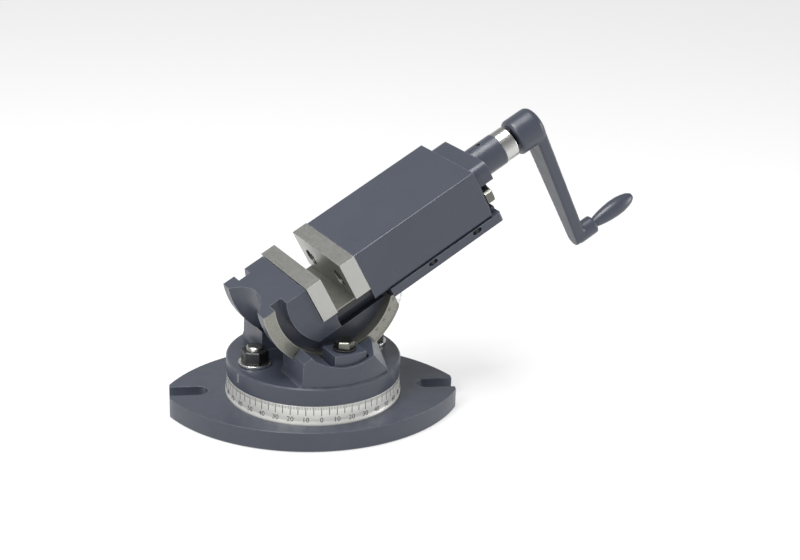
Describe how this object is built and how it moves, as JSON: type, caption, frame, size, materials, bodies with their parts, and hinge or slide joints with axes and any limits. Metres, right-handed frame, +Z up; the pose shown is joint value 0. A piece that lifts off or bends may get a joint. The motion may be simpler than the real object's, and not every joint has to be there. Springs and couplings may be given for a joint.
{
  "type": "tilting machine vise",
  "caption": "Machine vise with a screw-driven movable jaw and crank, on a tilting half-round body in a swivelling graduated base with bolt slots.",
  "frame": {"origin": "point on the underside of the base where the swivel axis meets it", "axes": "+Z up along the swivel axis, +X along the base's long axis towards the crank, +Y towards the back"},
  "size_m": [0.3544, 0.1689, 0.2019],
  "materials": {
    "blue_grey_paint": "satin paint on cast iron",
    "scale_ring_steel": "bright turned steel with dark graduations",
    "ground_jaw_steel": "surface ground",
    "bright_steel": "bright machined",
    "black_oxide_steel": "black oxide",
    "bronze": "machined"
  },
  "bodies": {
    "base": {"base_plate": "blue_grey_paint", "scale_ring": "scale_ring_steel"},
    "turntable": {"turntable": "blue_grey_paint", "t_bolt_left": "black_oxide_steel", "t_bolt_right": "black_oxide_steel", "t_washer_left": "bright_steel", "t_washer_right": "bright_steel", "t_nut_left": "black_oxide_steel", "t_nut_right": "black_oxide_steel", "clamp_near": "blue_grey_paint", "clamp_far": "blue_grey_paint", "clamp_washer_near": "black_oxide_steel", "clamp_washer_far": "black_oxide_steel", "clamp_bolt_near": "black_oxide_steel", "clamp_bolt_far": "black_oxide_steel"},
    "vise_body": {"vise_body": "blue_grey_paint", "fixed_jaw_plate": "ground_jaw_steel", "fixed_jaw_plate_screw_near": "black_oxide_steel", "fixed_jaw_plate_screw_far": "black_oxide_steel", "end_bracket": "blue_grey_paint", "bracket_bolt_near": "black_oxide_steel", "bracket_bolt_far": "black_oxide_steel", "side_screw_near_1": "black_oxide_steel", "side_screw_near_2": "black_oxide_steel", "side_screw_far_1": "black_oxide_steel", "side_screw_far_2": "black_oxide_steel"},
    "movable_jaw": {"movable_jaw": "blue_grey_paint", "moving_jaw_plate": "ground_jaw_steel", "moving_jaw_plate_screw_near": "black_oxide_steel", "moving_jaw_plate_screw_far": "black_oxide_steel", "keeper_near": "black_oxide_steel", "keeper_far": "black_oxide_steel", "screw_nut": "bronze"},
    "screw": {"lead_screw": "bright_steel", "crank_arm": "blue_grey_paint", "grip_pin": "bright_steel"},
    "grip": {"grip": "blue_grey_paint"}
  },
  "joints": [
    {"name": "swivel", "type": "hinge", "parent": "base", "child": "turntable", "pos_m": [0, 0, 0.0286], "axis": [0, 0, 1], "continuous": true},
    {"name": "tilt", "type": "hinge", "parent": "turntable", "child": "vise_body", "pos_m": [-0.00122, -0.00045, 0.1], "axis": [0.3437, -0.9391, 0], "range_deg": [-27.6, 32.4]},
    {"name": "jaw_slide", "type": "slide", "parent": "vise_body", "child": "movable_jaw", "axis": [0.8322, 0.3046, 0.4633], "range_m": [-0.0155, 0.028]},
    {"name": "screw_turn", "type": "hinge", "parent": "vise_body", "child": "screw", "pos_m": [0.08274, 0.03028, 0.14482], "axis": [0.8322, 0.3046, 0.4633], "range_deg": [-1394, 2519]},
    {"name": "grip_spin", "type": "hinge", "parent": "screw", "child": "grip", "pos_m": [0.23544, 0.08616, 0.11439], "axis": [0.8322, 0.3046, 0.4633], "continuous": true}
  ],
  "couplings": [
    {"joint": "jaw_slide", "follows": "screw_turn", "m_per_rad": 0.00063662}
  ]
}
